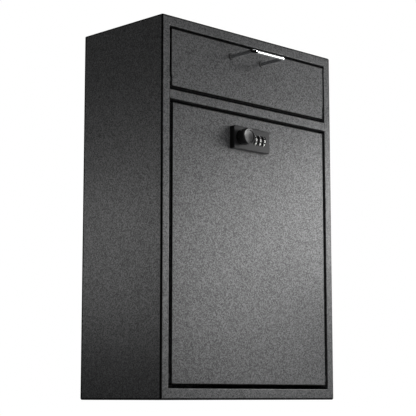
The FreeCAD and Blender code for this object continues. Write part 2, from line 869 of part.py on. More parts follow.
def make_dial_wheel(label, x):
    """Number wheel: ten faces with a thumb notch between each pair."""
    body = new_body(label)
    half = d.dial_width / 2
    sketch = side_sketch(body, -half)
    circle(sketch, 0, 0, d.dial_radius)
    circle(sketch, 0, 0, d.axle_diameter / 2 + d.journal_clearance)
    pad(body, sketch, d.dial_width)
    sketch = side_sketch(body, -half)
    floor = d.dial_radius - d.notch_depth
    mouth = d.notch_width / 2
    step = math.pi / DIGITS_PER_DIAL
    along, across = math.cos(step), math.sin(step)

    def at(radial, sideways):
        return radial * along - sideways * across, radial * across + sideways * along
    outer = d.dial_radius + d.notch_depth
    outline(sketch, [at(floor, -(mouth / 2)), at(outer, -mouth), at(outer, mouth), at(floor, mouth / 2)])
    notch = pocket(body, sketch, d.dial_width, forward=True)
    pattern = body.newObject("PartDesign::PolarPattern", f"{label}_notches")
    pattern.Originals = [notch]
    pattern.Axis = (sketch, ["N_Axis"])
    pattern.Angle = 360
    pattern.Occurrences = DIGITS_PER_DIAL
    body.Tip = pattern
    place(body, x, dial_y, lock_z)


# Knob, spindle and cam

def make_lock_knob():
    """Turned knob: collar, finger groove and a cap with a dished face."""
    body = new_body("lock_knob")
    radius, collar = d.knob_diameter / 2, d.knob_collar_diameter / 2
    groove = d.knob_groove_diameter / 2
    back_y = -d.axial_play
    face_y = -d.knob_reach
    collar_y = back_y - d.knob_collar_length
    cap_y = collar_y - d.knob_groove_length
    turned(body, [
        (0, back_y), (collar, back_y), (collar, collar_y), (groove, collar_y),
        (groove, cap_y), (radius, cap_y), (radius, face_y + d.knob_edge), (radius - d.knob_edge, face_y),
        (d.knob_dish_radius, face_y), (d.knob_dish_radius - d.knob_dish_depth, face_y + d.knob_dish_depth),
        (0, face_y + d.knob_dish_depth)], "V_Axis")
    place(body, knob_x, plate_face, lock_z)


def make_lock_spindle():
    """Shaft from the knob through the case, with a thrust collar, a square seat and a stud."""
    body = new_body("lock_spindle")
    start = plate_face - d.axial_play
    collar_y = cover_back + d.axial_play
    for y, length, radius in (
            (collar_y, collar_y - start, d.spindle_diameter / 2),
            (cam_front, cam_front - collar_y, d.thrust_diameter / 2)):
        sketch = front_sketch(body, y)
        circle(sketch, knob_x, lock_z, radius)
        pad(body, sketch, length)
    half = d.cam_square / 2
    sketch = front_sketch(body, cam_back)
    rectangle(sketch, knob_x - half, knob_x + half, lock_z - half, lock_z + half)
    pad(body, sketch, d.cam_thickness)
    stud = d.nut_thickness + d.stud_overhang
    sketch = front_sketch(body, cam_back + stud)
    circle(sketch, knob_x, lock_z, d.stud_diameter / 2)
    pad(body, sketch, stud)


def make_lock_cam():
    """Latch cam: lies flat beside the lock when open, and stands behind the mid rail when locked."""
    body = new_body("lock_cam")
    half, hole = d.cam_width / 2, d.cam_square / 2 + d.thread_clearance
    tip = knob_x - (d.lock_drop + d.door_top_gap + d.cam_overlap)
    sketch = front_sketch(body, cam_back)
    rectangle(sketch, tip, knob_x + half, lock_z - half, lock_z + half)
    rectangle(sketch, knob_x - hole, knob_x + hole, lock_z - hole, lock_z + hole)
    pad(body, sketch, d.cam_thickness)

    def outer_corner(edge):
        return runs_along(edge, Y_AXIS) and abs(abs(edge.CenterOfMass.z - lock_z.value) - half.value) < NEAR
    round_edges(body, d.cam_corner_radius, outer_corner)


def make_cam_nut():
    nut = make_nut("cam_nut")
    nut.Placement.Rotation = FreeCAD.Rotation(X_AXIS, -90)
    place(nut, knob_x, cam_back, lock_z)


def make_all():
    make_cabinet_shell()
    make_mid_rail()
    make_back_panel()
    make_anti_fish_baffle()
    for name, side in (("left", -1), ("right", 1)):
        make_door_stop(f"door_stop_{name}", side)
        make_hopper_stop(f"hopper_stop_{name}", side)
        make_pivot(f"door_pivot_{name}", side, door_pivot_z)
        make_pivot(f"hopper_pivot_{name}", side, hopper_pivot_z)
        make_hopper_cheek(f"hopper_cheek_{name}", side)
    make_pivot_nuts()
    make_hopper_panel()
    make_hopper_tray()
    make_pull_handle()
    make_handle_nuts()

    make_door_panel()
    make_lock_case()
    make_lock_back_cover()
    make_lock_clamp()
    make_dial_axle()
    make_detent_springs()
    for label, x in zip(DIAL_NAMES, dial_places()):
        make_dial_wheel(label, x)
    make_lock_knob()
    make_lock_spindle()
    make_lock_cam()
    make_cam_nut()


def check_and_write():
    doc.recompute()
    for item in doc.Objects:
        if "Invalid" in item.State or "Error" in item.State:
            raise RuntimeError(f"{item.Name} failed: {item.State}")
    for label, item in nodes.items():
        if item.Shape.isNull() or not item.Shape.isValid() or not item.Shape.Solids:
            raise RuntimeError(f"{label} has no valid solid")
    os.makedirs("parts", exist_ok=True)
    for label, item in nodes.items():
        item.Shape.exportStep(f"parts/{label}.step")
        box = item.Shape.BoundBox
        print(f"{label}: {len(item.Shape.Solids)} solid, {item.Shape.Volume:.1f} mm3, "
              f"x {box.XMin:.2f}..{box.XMax:.2f} y {box.YMin:.2f}..{box.YMax:.2f} "
              f"z {box.ZMin:.2f}..{box.ZMax:.2f}")


make_all()
check_and_write()
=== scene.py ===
"""Finishes and small parts of a locking deposit box: coat, plating, numerals, screws and the stage.

Metres, +Z up. The front faces -Y and the origin is the centre of the cabinet's base.
"""
import json
import math
from typing import NamedTuple

import bmesh
import bpy
from bpy.props import FloatProperty, FloatVectorProperty, IntProperty, PointerProperty
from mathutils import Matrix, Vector


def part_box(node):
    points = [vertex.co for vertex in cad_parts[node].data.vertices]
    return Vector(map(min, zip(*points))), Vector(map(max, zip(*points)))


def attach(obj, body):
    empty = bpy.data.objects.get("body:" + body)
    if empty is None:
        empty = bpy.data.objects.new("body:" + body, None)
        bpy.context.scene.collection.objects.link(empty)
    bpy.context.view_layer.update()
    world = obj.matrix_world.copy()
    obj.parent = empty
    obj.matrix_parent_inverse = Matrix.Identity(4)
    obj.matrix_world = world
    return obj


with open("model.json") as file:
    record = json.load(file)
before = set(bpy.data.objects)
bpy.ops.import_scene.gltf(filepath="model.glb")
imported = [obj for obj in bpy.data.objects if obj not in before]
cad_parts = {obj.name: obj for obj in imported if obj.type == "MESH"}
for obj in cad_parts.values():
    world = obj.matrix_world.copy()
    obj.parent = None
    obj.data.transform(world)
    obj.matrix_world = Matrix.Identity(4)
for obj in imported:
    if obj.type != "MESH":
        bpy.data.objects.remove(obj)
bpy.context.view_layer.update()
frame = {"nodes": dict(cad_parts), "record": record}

bl_info = {
    "name": "Deposit Box Finish",
    "version": (1, 0, 0),
    "blender": (4, 5, 0),
    "location": "View3D > Sidebar > Deposit Box",
    "description": "Gives a packed deposit box its coat, plating, numerals, screws and studio stage",
    "category": "Object",
}

MILLIMETRE = 0.001
DIALS = ("dial_1", "dial_2", "dial_3")
DIGITS = 10
BODIES = frame["record"]["behaviour"]["bodies"]
SLOT_OF = {part["node"]: part["material_slot"] for part in frame["record"]["subparts"]}
FACING_BACK = (-math.pi / 2, 0.0, 0.0)
FACING_FRONT = (math.pi / 2, 0.0, 0.0)

# Camera's sensor, in millimetres
SENSOR_WIDTH = 36.0

# Stage: shares of the reach, height and drop in its settings, and the sides of the round tent
SHADOW_START = 0.3
TENT_SHOULDER = 0.7
TENT_GROUND = 1.1
TENT_SIDES = 64

# Coat's texture: scales as shares of a grain's, and the fully dark share of the painted shade's band round
# a fold
FINE_GRAIN_SHARE = 1.7
SLOW_GRAIN_SHARE = 0.04
FOLD_SHADE_CORE_SHARE = 0.4

# Patterns: scale in repeats per metre, and how far behind the front the painted highlight along the
# opening's edges reaches
HIGHLIGHT_PATCH_SCALE = 90.0
DUST_SCALE = 45.0
CLOUD_SCALE = 130.0
HIGHLIGHT_DEPTH = 8 * MILLIMETRE

# Finishes: how far a pattern lowers and raises a colour, gloss or roughness
COAT_TONES = (0.86, 1.14)
COAT_SPECKS = (0.65, 1.35)
FILM_SPECKS = (0.45, 1.55)
METAL_TONES = (0.7, 1.3)
SATIN_TONES = (0.8, 1.2)

# Finishes: strength of the bump
COAT_BUMP = 0.9
METAL_BUMP = 0.4
SATIN_BUMP = 0.3

# Settled dust: its colour, how much lies on a level face, and the roughness that it adds
DUST = (0.30, 0.29, 0.27)
DUST_AMOUNT = 0.10
DUST_ROUGHNESS = 0.3

# Numerals: the rounded stroke that runs along their outlines
STROKE_SIDES = 4
STROKE_POINTS = 30
STROKE_FLATNESS = 0.25


class Lamp(NamedTuple):
    """Soft lamp: where it stands, what it aims at, its size and the light of its face."""

    name: str
    place: tuple
    aim: tuple
    width: float
    height: float
    radiance: float


FRONT_AIM = (0.12, -0.065, 0.19)
PANEL_AIM = (0.0, -0.065, 0.30)
HOPPER_AIM = (0.12, -0.065, 0.37)
FOOT_AIM = (0.0, -0.065, 0.02)
SIDE_AIM = (-0.1375, -0.02, 0.17)
BACK_AIM = (0.0, 0.065, 0.20)
FRONT_LAMPS = (
    Lamp("near_right", (0.433, -0.204, 0.263), FRONT_AIM, 0.20, 0.20, 4.8),
    Lamp("near_middle", (0.362, -0.307, 0.263), FRONT_AIM, 0.20, 0.20, 3.1),
    Lamp("near_front", (0.262, -0.385, 0.190), FRONT_AIM, 0.20, 0.20, 3.7),
    Lamp("far_right", (1.105, -0.239, 0.190), FRONT_AIM, 0.60, 0.60, 0.30),
    Lamp("far_front", (0.344, -0.567, 0.190), FRONT_AIM, 0.35, 0.35, 0.87),
    Lamp("softbox", (1.030, -0.975, 0.371), FRONT_AIM, 1.40, 1.40, 0.40),
    Lamp("low_card", (0.410, -0.260, 0.005), (0.410, -0.260, 1.0), 0.40, 0.40, 1.0),
    Lamp("high_front", (-0.010, -1.039, 0.605), PANEL_AIM, 0.13, 0.13, 95.0),
    Lamp("high_right", (0.490, -0.380, 0.485), HOPPER_AIM, 0.20, 0.20, 2.0),
    Lamp("low_front", (0.360, -0.410, 0.030), FOOT_AIM, 0.15, 0.15, 2.6),
)
SIDE_LAMPS = (
    Lamp("side_low", (-0.405, 0.205, 0.188), SIDE_AIM, 0.20, 0.20, 1.22),
    Lamp("side_middle", (-0.392, 0.194, 0.278), SIDE_AIM, 0.20, 0.20, 0.66),
    Lamp("side_back", (-0.312, 0.283, 0.188), SIDE_AIM, 0.20, 0.20, 0.95),
    Lamp("side_far", (-0.866, 0.591, 0.479), SIDE_AIM, 0.60, 0.60, 0.37),
)
BACK_LAMPS = (Lamp("back_soft", (0.9, 1.5, 0.7), BACK_AIM, 0.9, 0.9, 5.0),)


class StageSettings(bpy.types.PropertyGroup):
    """Camera, lamps, floor and tent."""

    camera_place: FloatVectorProperty(
        name="Camera Place", description="Where the camera stands", size=3, subtype="XYZ",
        unit="LENGTH", default=(-1.0560, -1.0690, 0.0035))
    camera_turn: FloatVectorProperty(
        name="Camera Turn", description="How the camera is turned", size=3, subtype="EULER",
        default=(math.radians(98.18), 0.0, math.radians(-44.5)))
    lens: FloatProperty(
        name="Lens", description="Focal length for a 36 mm wide sensor", default=113.6, unit="CAMERA")
    backdrop: FloatVectorProperty(
        name="Backdrop", description="Colour of the background", size=3, subtype="COLOR",
        default=(1.0, 1.0, 1.0))
    ambient: FloatVectorProperty(
        name="Ambient", description="Colour of the soft light from all sides", size=3, subtype="COLOR",
        default=(0.12, 0.12, 0.12))
    floor_half: FloatProperty(
        name="Floor Half Width", description="Half the width of the floor", default=4.0, unit="LENGTH")
    floor_drop: FloatProperty(
        name="Floor Drop", description="How far the floor lies below the box, so that its door can drop",
        default=0.08, unit="LENGTH")
    shadow_reach: FloatProperty(
        name="Shadow Reach", description="How far from the box the floor shows its shadow", default=0.9,
        unit="LENGTH")
    shadow_depth: FloatProperty(
        name="Shadow Depth", description="How dark the floor may get in the box's shadow", default=0.25,
        subtype="FACTOR")
    tent_radius: FloatProperty(
        name="Tent Radius", description="Radius of the dark tent that reflections see", default=2.6,
        unit="LENGTH")
    tent_height: FloatProperty(
        name="Tent Height", description="Height of the dark tent", default=2.2, unit="LENGTH")
    tent_opening: FloatProperty(
        name="Tent Opening", description="Radius of the opening at the tent's top", default=0.5,
        unit="LENGTH")
    front_light: FloatProperty(
        name="Front Light", description="Strength of the lamps that light the front", default=1.0,
        min=0.0)
    side_light: FloatProperty(
        name="Side Light", description="Strength of the lamps that light the left side", default=1.0,
        min=0.0)
    back_light: FloatProperty(
        name="Back Light", description="Strength of the lamp that lights the back", default=1.0,
        min=0.0)


class FinishSettings(bpy.types.PropertyGroup):
    """Colours and textures of the surfaces."""

    coat: FloatVectorProperty(
        name="Coat", description="Colour of the powder coat", size=3, subtype="COLOR",
        default=(0.030, 0.0305, 0.0315))
    # Painted highlight: a lighter line along the opening's lower and left edges, in place of the light
    # that their rounded edges catch
    coat_worn: FloatVectorProperty(
        name="Worn Coat", description="Colour of the coat where it is rubbed", size=3, subtype="COLOR",
        default=(0.18, 0.18, 0.18))
    # Painted shade: a near-black band round the folds and edges stands in for the shade that the rounded
    # bends show
    fold: FloatVectorProperty(
        name="Fold", description="Colour of the coat round the folds", size=3, subtype="COLOR",
        default=(0.003, 0.003, 0.003))
    fold_width: FloatProperty(
        name="Fold Width", description="Width of the dark band round the cabinet's folds",
        default=2.6 * MILLIMETRE, unit="LENGTH")
    panel_fold_width: FloatProperty(
        name="Panel Fold Width", description="Width of the dark band round the door's and hopper's folds",
        default=1.7 * MILLIMETRE, unit="LENGTH")
    rail_fold_width: FloatProperty(
        name="Rail Fold Width", description="Width of the dark band round the mid rail's folds",
        default=0.9 * MILLIMETRE, unit="LENGTH")
    # Width of the painted highlight line along the opening's edges
    rub_width: FloatProperty(
        name="Rub Width", description="Width of the rubbed line along an edge", default=2.0 * MILLIMETRE,
        unit="LENGTH")
    coat_roughness: FloatProperty(
        name="Coat Roughness", description="Roughness under the coat's film", default=0.33,
        subtype="FACTOR")
    film_weight: FloatProperty(
        name="Film Weight", description="Mean share of the coat's glossy film", default=0.645,
        subtype="FACTOR")
    film_ior: FloatProperty(
        name="Film IOR", description="Index of refraction of the coat's glossy film", default=1.66)
    film_roughness: FloatProperty(
        name="Film Roughness", description="Roughness of the coat's glossy film", default=0.41,
        subtype="FACTOR")
    pebble: FloatProperty(
        name="Pebble", description="Size of one grain of the coat's texture", default=1.06 * MILLIMETRE,
        unit="LENGTH")
    pebble_depth: FloatProperty(
        name="Pebble Depth", description="Depth of the coat's texture", default=0.26 * MILLIMETRE,
        unit="LENGTH")
    chrome: FloatVectorProperty(
        name="Chrome", description="Colour of the polished rod", size=3, subtype="COLOR",
        default=(0.86, 0.87, 0.88))
    zinc: FloatVectorProperty(
        name="Zinc", description="Colour of the plated hardware", size=3, subtype="COLOR",
        default=(0.60, 0.61, 0.62))
    spring: FloatVectorProperty(
        name="Spring Steel", description="Colour of bare spring steel", size=3, subtype="COLOR",
        default=(0.42, 0.43, 0.45))
    oxide: FloatVectorProperty(
        name="Black Oxide", description="Colour of the pivots' oxide", size=3, subtype="COLOR",
        default=(0.018, 0.018, 0.019))
    lock: FloatVectorProperty(
        name="Lock", description="Colour of the lock's castings", size=3, subtype="COLOR",
        default=(0.009, 0.009, 0.0095))
    dial: FloatVectorProperty(
        name="Dial", description="Colour of the number wheels", size=3, subtype="COLOR",
        default=(0.006, 0.006, 0.0062))
    numeral: FloatVectorProperty(
        name="Numeral", description="Colour of the numerals' paint", size=3, subtype="COLOR",
        default=(0.80, 0.80, 0.78))


class DetailSettings(bpy.types.PropertyGroup):
    """Sizes of the small parts."""

    numeral_height: FloatProperty(
        name="Numeral Height", description="Size of the numerals' type", default=4.7 * MILLIMETRE,
        unit="LENGTH")
    numeral_proud: FloatProperty(
        name="Numeral Proud", description="How far the numerals stand above the wheel",
        default=0.05 * MILLIMETRE, unit="LENGTH")
    numeral_weight: FloatProperty(
        name="Numeral Weight", description="How much thicker the numerals' strokes are made",
        default=0.12 * MILLIMETRE, unit="LENGTH")
    front_digit: IntProperty(
        name="Front Digit", description="Numeral that faces the front at rest", default=0, min=0, max=9)
    clamp_screw: FloatProperty(
        name="Clamp Screw", description="Head diameter of the clamp's screws", default=4.2 * MILLIMETRE,
        unit="LENGTH")
    cover_screw: FloatProperty(
        name="Cover Screw", description="Head diameter of the back cover's screws",
        default=3.4 * MILLIMETRE, unit="LENGTH")
    # The washers under the pull are black, which also stands in for the shade round its feet
    washer: FloatProperty(
        name="Washer", description="Diameter of the washers under the pull", default=8.0 * MILLIMETRE,
        unit="LENGTH")
    frame_gap: FloatProperty(
        name="Frame Gap", description="Gap between the door and the frame", default=3.7 * MILLIMETRE,
        unit="LENGTH")
    knob_dish: FloatProperty(
        name="Knob Dish", description="Depth of the dished face of the knob", default=1.3 * MILLIMETRE,
        unit="LENGTH")
    weld_mark: FloatProperty(
        name="Weld Mark", description="Diameter of a spot weld's mark", default=6.0 * MILLIMETRE,
        unit="LENGTH")
    weld_pitch: FloatProperty(
        name="Weld Pitch", description="Distance from one spot weld to the next", default=0.058,
        unit="LENGTH")


# Node helpers

def put(tree, kind, inputs=None, **settings):
    """Add a node with its settings; an input is given by name or index, as a socket or a plain value."""
    node = tree.nodes.new(kind)
    for name, value in settings.items():
        setattr(node, name, value)
    for key, value in (inputs or {}).items():
        if isinstance(value, bpy.types.NodeSocket):
            tree.links.new(value, node.inputs[key])
        else:
            node.inputs[key].default_value = value
    return node


def calc(tree, operation, first, second=0.0, clamp=False):
    """Result of a Math node."""
    node = put(tree, "ShaderNodeMath", {0: first, 1: second}, operation=operation, use_clamp=clamp)
    return node.outputs[0]


def fade(tree, value, start, end):
    """1 below start, 0 above end, smooth between them."""
    node = put(tree, "ShaderNodeMapRange", {
        "Value": value, "From Min": start, "From Max": end, "To Min": 1.0, "To Max": 0.0},
        interpolation_type="SMOOTHSTEP")
    return node.outputs["Result"]


def spread(tree, value, limits):
    """Carry a value from 0 to 1 over to the range between two limits."""
    node = put(tree, "ShaderNodeMapRange", {"Value": value, "To Min": limits[0], "To Max": limits[1]})
    return node.outputs["Result"]


def mix_colour(tree, factor, first, second):
    """First colour where the factor is 0, second where it is 1."""
    node = put(tree, "ShaderNodeMix", {0: factor, 6: first, 7: second}, data_type="RGBA")
    return node.outputs[2]


def opaque(colour):
    """Colour with full alpha."""
    return (*colour, 1.0)


def shader_group(name, inputs, outputs):
    """Empty shader group with named inputs and outputs; returns it with its two end nodes."""
    group = bpy.data.node_groups.new(name, "ShaderNodeTree")
    for label, kind in inputs:
        group.interface.new_socket(label, in_out="INPUT", socket_type=kind)
    for label in outputs:
        group.interface.new_socket(label, in_out="OUTPUT", socket_type="NodeSocketFloat")
    return group, group.nodes.new("NodeGroupInput"), group.nodes.new("NodeGroupOutput")


def tree_once(name, build):
    """Node tree of that name, built on first use."""
    return bpy.data.node_groups.get(name) or build(name)


def use_group(tree, name, build, inputs):
    """Place a shader group in a material."""
    return put(tree, "ShaderNodeGroup", inputs, node_tree=tree_once(name, build))


# Shared surface effects

def build_pebble(name):
    """Rounded grains of a textured coat: a height, a random value for each grain and a slow tone."""
    group, given, result = shader_group(
        name, [("Vector", "NodeSocketVector"), ("Grain", "NodeSocketFloat")],
        ["Height", "Speck", "Tone"])
    scale = calc(group, "DIVIDE", 1.0, given.outputs["Grain"])
    grains = put(group, "ShaderNodeTexVoronoi", {
        "Vector": given.outputs["Vector"], "Scale": scale, "Smoothness": 0.6}, feature="SMOOTH_F1")
    fine = put(group, "ShaderNodeTexNoise", {
        "Vector": given.outputs["Vector"], "Detail": 2.0,
        "Scale": calc(group, "MULTIPLY", scale, FINE_GRAIN_SHARE)})
    slow = put(group, "ShaderNodeTexNoise", {
        "Vector": given.outputs["Vector"], "Detail": 3.0,
        "Scale": calc(group, "MULTIPLY", scale, SLOW_GRAIN_SHARE)})
    rounded = calc(group, "SUBTRACT", 1.0, grains.outputs["Distance"])
    height = calc(group, "ADD", rounded, fine.outputs[0])
    sand = put(group, "ShaderNodeTexVoronoi", {
        "Vector": given.outputs["Vector"], "Scale": scale}, feature="F1")
    shares = put(group, "ShaderNodeSeparateColor", {0: sand.outputs["Color"]})
    group.links.new(height, result.inputs["Height"])
    group.links.new(shares.outputs[0], result.inputs["Speck"])
    group.links.new(slow.outputs[0], result.inputs["Tone"])
    return group


def build_box_edges(name):
    """Mask of the painted shade along the edges of a box between two corners."""
    group, given, result = shader_group(name, [
        ("Vector", "NodeSocketVector"), ("Low", "NodeSocketVector"), ("High", "NodeSocketVector"),
        ("Width", "NodeSocketFloat")], ["Mask"])
    apart = []
    for end in ("Low", "High"):
        gap = put(group, "ShaderNodeVectorMath", {
            0: given.outputs["Vector"], 1: given.outputs[end]}, operation="SUBTRACT")
        size = put(group, "ShaderNodeVectorMath", {0: gap.outputs[0]}, operation="ABSOLUTE")
        apart.append(size.outputs[0])
    nearest = put(group, "ShaderNodeVectorMath", {0: apart[0], 1: apart[1]}, operation="MINIMUM")
    axes = put(group, "ShaderNodeSeparateXYZ", {0: nearest.outputs[0]})
    x, y, z = axes.outputs
    middle = calc(group, "MAXIMUM", calc(group, "MINIMUM", x, y),
                  calc(group, "MINIMUM", calc(group, "MAXIMUM", x, y), z))
    inside = calc(group, "MULTIPLY", given.outputs["Width"], FOLD_SHADE_CORE_SHARE)
    group.links.new(fade(group, middle, inside, given.outputs["Width"]), result.inputs["Mask"])
    return group


def build_rubbed(name):
    """Mask of the painted highlight along the left and the lower edge of a rectangle that faces the front.
    """
    group, given, result = shader_group(name, [
        ("Vector", "NodeSocketVector"), ("Low", "NodeSocketVector"), ("High", "NodeSocketVector"),
        ("Width", "NodeSocketFloat")], ["Mask"])
    short = put(group, "ShaderNodeVectorMath", {
        0: given.outputs["Low"], 1: given.outputs["Vector"]}, operation="SUBTRACT")
    low = put(group, "ShaderNodeSeparateXYZ", {0: short.outputs[0]})
    apart = calc(group, "ABSOLUTE", calc(group, "MAXIMUM", low.outputs[0], low.outputs[2]))
    patchy = put(group, "ShaderNodeTexNoise", {
        "Vector": given.outputs["Vector"], "Scale": HIGHLIGHT_PATCH_SCALE, "Detail": 4.0})
    reach = calc(group, "MULTIPLY", given.outputs["Width"], patchy.outputs[0])
    left = put(group, "ShaderNodeVectorMath", {
        0: given.outputs["High"], 1: given.outputs["Vector"]}, operation="SUBTRACT")
    high = put(group, "ShaderNodeSeparateXYZ", {0: left.outputs[0]})
    within = calc(group, "GREATER_THAN", calc(group, "MINIMUM", high.outputs[0], high.outputs[2]))
    forward = calc(group, "GREATER_THAN", low.outputs[1], -HIGHLIGHT_DEPTH)
    within = calc(group, "MULTIPLY", within, forward)
    mask = calc(group, "MULTIPLY", within, fade(group, apart, 0.0, reach))
    group.links.new(mask, result.inputs["Mask"])
    return group


def build_dust(name):
    """Thin settled dust on faces that look up."""
    group, given, result = shader_group(name, [
        ("Vector", "NodeSocketVector"), ("Normal", "NodeSocketVector"), ("Amount", "NodeSocketFloat")],
        ["Mask"])
    up = put(group, "ShaderNodeSeparateXYZ", {0: given.outputs["Normal"]}).outputs[2]
    level = calc(group, "SUBTRACT", 1.0, fade(group, up, 0.5, 0.95))
    specks = put(group, "ShaderNodeTexNoise", {
        "Vector": given.outputs["Vector"], "Scale": DUST_SCALE, "Detail": 6.0})
    settled = calc(group, "MULTIPLY", level, specks.outputs[0])
    group.links.new(calc(group, "MULTIPLY", settled, given.outputs["Amount"]), result.inputs["Mask"])
    return group


def build_hairlines(name):
    """Fine streaks left by drawing and handling: a height and a tone."""
    group, given, result = shader_group(
        name, [("Vector", "NodeSocketVector"), ("Stretch", "NodeSocketVector")], ["Height", "Tone"])
    drawn = put(group, "ShaderNodeVectorMath", {
        0: given.outputs["Vector"], 1: given.outputs["Stretch"]}, operation="MULTIPLY")
    streaks = put(group, "ShaderNodeTexNoise", {"Vector": drawn.outputs[0], "Scale": 1.0, "Detail": 3.0})
    clouds = put(group, "ShaderNodeTexNoise", {
        "Vector": given.outputs["Vector"], "Scale": CLOUD_SCALE, "Detail": 3.0})
    group.links.new(streaks.outputs[0], result.inputs["Height"])
    group.links.new(clouds.outputs[0], result.inputs["Tone"])
    return group


# Materials

def new_material(name):
    """Material with its shader; returns the material, tree, shader and object coordinates."""
    material = bpy.data.materials.new(name)
    material.use_nodes = True
    tree = material.node_tree
    tree.nodes.clear()
    shader = tree.nodes.new("ShaderNodeBsdfPrincipled")
    output = tree.nodes.new("ShaderNodeOutputMaterial")
    tree.links.new(shader.outputs[0], output.inputs["Surface"])
    place = tree.nodes.new("ShaderNodeTexCoord")
    return material, tree, shader, place


def powder_coat(name, shaded_box, fold_width, finish, opening=None):
    """Black textured coat, with painted shade round the folds of a box and a painted highlight along the
    lower and left edges of an opening.
    """
    material, tree, shader, place = new_material(name)
    where = place.outputs["Object"]
    pebble = use_group(tree, "pebble_grain", build_pebble, {"Vector": where, "Grain": finish.pebble})
    dust = use_group(tree, "settled_dust", build_dust, {
        "Vector": where, "Normal": place.outputs["Normal"], "Amount": DUST_AMOUNT})
    shaded_folds = use_group(tree, "box_edges", build_box_edges, {
        "Vector": where, "Low": shaded_box[0], "High": shaded_box[1], "Width": fold_width})
    tone = spread(tree, pebble.outputs["Tone"], COAT_TONES)
    speck = spread(tree, pebble.outputs["Speck"], COAT_SPECKS)
    colour = put(tree, "ShaderNodeVectorMath", {
        0: tuple(finish.coat), "Scale": calc(tree, "MULTIPLY", tone, speck)},
        operation="SCALE").outputs[0]
    # Painted highlight: a lighter line along the opening's lower and left edges, where their rounded edges
    # catch the light
    if opening:
        highlight_mask = use_group(tree, "rubbed_edges", build_rubbed, {
            "Vector": where, "Low": opening[0], "High": opening[1], "Width": finish.rub_width})
        colour = mix_colour(tree, highlight_mask.outputs["Mask"], colour, opaque(finish.coat_worn))
    # Painted shade: the near-black band round the folds and edges of the box
    colour = mix_colour(tree, shaded_folds.outputs["Mask"], colour, opaque(finish.fold))
    colour = mix_colour(tree, dust.outputs["Mask"], colour, opaque(DUST))
    tree.links.new(colour, shader.inputs["Base Color"])
    gloss = spread(tree, pebble.outputs["Speck"], FILM_SPECKS)
    film = calc(tree, "MULTIPLY", gloss, finish.film_weight)
    # No glossy film inside the painted shade round the folds
    film = calc(tree, "MULTIPLY", calc(tree, "SUBTRACT", 1.0, shaded_folds.outputs["Mask"]), film)
    tree.links.new(film, shader.inputs["Coat Weight"])
    shader.inputs["Coat IOR"].default_value = finish.film_ior
    shader.inputs["Coat Roughness"].default_value = finish.film_roughness
    shader.inputs["Specular IOR Level"].default_value = 0.0
    dusty = calc(tree, "MULTIPLY", dust.outputs["Mask"], DUST_ROUGHNESS)
    rough = calc(tree, "MULTIPLY", tone, finish.coat_roughness)
    tree.links.new(calc(tree, "ADD", rough, dusty, clamp=True), shader.inputs["Roughness"])
    bump = put(tree, "ShaderNodeBump", {
        "Height": pebble.outputs["Height"], "Strength": COAT_BUMP, "Distance": finish.pebble_depth})
    tree.links.new(bump.outputs[0], shader.inputs["Normal"])
    return material


def metal(name, colour, roughness, stretch, streak_depth, stain):
    """Plated or bare metal with drawn streaks and faint clouding."""
    material, tree, shader, place = new_material(name)
    lines = use_group(tree, "hairlines", build_hairlines, {
        "Vector": place.outputs["Object"], "Stretch": stretch})
    tint = tuple(part * (1.0 - stain) for part in colour)
    base = mix_colour(tree, lines.outputs["Tone"], opaque(tint), opaque(colour))
    tree.links.new(base, shader.inputs["Base Color"])
    shader.inputs["Metallic"].default_value = 1.0
    uneven = spread(tree, lines.outputs["Tone"], [roughness * share for share in METAL_TONES])
    tree.links.new(uneven, shader.inputs["Roughness"])
    bump = put(tree, "ShaderNodeBump", {
        "Height": lines.outputs["Height"], "Strength": METAL_BUMP, "Distance": streak_depth})
    tree.links.new(bump.outputs[0], shader.inputs["Normal"])
    return material


def satin(name, colour, roughness, grain, depth, shine=0.5):
    """Smooth painted casting or moulding with a barely felt grain."""
    material, tree, shader, place = new_material(name)
    pebble = use_group(tree, "pebble_grain", build_pebble, {
        "Vector": place.outputs["Object"], "Grain": grain})
    tone = spread(tree, pebble.outputs["Tone"], SATIN_TONES)
    shade = put(tree, "ShaderNodeVectorMath", {0: tuple(colour), "Scale": tone}, operation="SCALE")
    tree.links.new(shade.outputs[0], shader.inputs["Base Color"])
    tree.links.new(calc(tree, "MULTIPLY", tone, roughness), shader.inputs["Roughness"])
    shader.inputs["Specular IOR Level"].default_value = shine
    bump = put(tree, "ShaderNodeBump", {
        "Height": pebble.outputs["Height"], "Strength": SATIN_BUMP, "Distance": depth})
    tree.links.new(bump.outputs[0], shader.inputs["Normal"])
    return material


def dish_face(material, axis, radius, depth):
    """Deepen the dished face of a turned part round an axis along Y, under the bump that it has."""
    tree = material.node_tree
    grain = tree.nodes["Bump"]
    place = tree.nodes.new("ShaderNodeTexCoord")
    flat = put(tree, "ShaderNodeVectorMath", {0: place.outputs["Object"], 1: (1.0, 0.0, 1.0)},
               operation="MULTIPLY")
    away = put(tree, "ShaderNodeVectorMath", {0: flat.outputs[0], 1: axis}, operation="DISTANCE")
    part = calc(tree, "DIVIDE", away.outputs["Value"], radius)
    hollow = put(tree, "ShaderNodeBump", {
        "Height": calc(tree, "MULTIPLY", part, part), "Strength": 1.0, "Distance": depth})
    tree.links.new(hollow.outputs[0], grain.inputs["Normal"])


def cover_node(node, material):
    """Give a CAD node one material in all its slots."""
    slots = frame["nodes"][node].data.materials
    if not slots:
        slots.append(material)
    for index in range(len(slots)):
        slots[index] = material


def nodes_in(slot):
    """Names of the CAD nodes that take a material slot."""
    return [node for node, taken in SLOT_OF.items() if taken == slot]


# Pieces made of repeats

